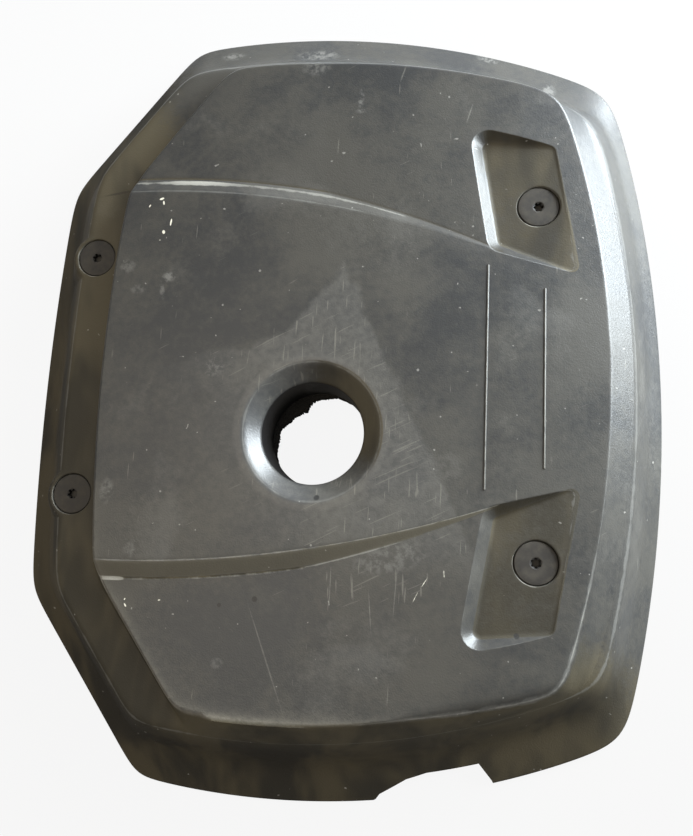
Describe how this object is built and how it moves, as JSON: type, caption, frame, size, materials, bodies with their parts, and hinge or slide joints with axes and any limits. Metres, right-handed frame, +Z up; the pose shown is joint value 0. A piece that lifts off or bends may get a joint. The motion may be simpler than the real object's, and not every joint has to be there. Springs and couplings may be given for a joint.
{
  "type": "engine cover",
  "caption": "Domed plastic engine cover with a filler opening, corner pockets and a rear ledge for captive screws, and a foam pad underneath.",
  "frame": {"origin": "middle of the cover's box at the height of its lower edge", "axes": "+X towards the sloped front flange, +Y along the long side towards the left, +Z up out of the crown"},
  "size_m": [0.444, 0.557, 0.0658],
  "materials": {
    "moulding": "worn satin, dark grey",
    "screw": "black coated steel, dusty",
    "bush": "matte",
    "sleeve": "zinc plated",
    "pad": "open black foam, torn edge",
    "retainer": "plain spring steel"
  },
  "bodies": {
    "root": {"cover_shell": "moulding", "front_left_screw": "screw", "front_right_screw": "screw", "rear_left_screw": "screw", "rear_right_screw": "screw", "front_left_bush": "bush", "front_right_bush": "bush", "rear_left_bush": "bush", "rear_right_bush": "bush", "front_left_sleeve": "sleeve", "front_right_sleeve": "sleeve", "rear_left_sleeve": "sleeve", "rear_right_sleeve": "sleeve", "foam_pad": "pad", "retainer_1": "retainer", "retainer_2": "retainer", "retainer_3": "retainer", "retainer_4": "retainer", "retainer_5": "retainer", "retainer_6": "retainer"}
  },
  "joints": []
}
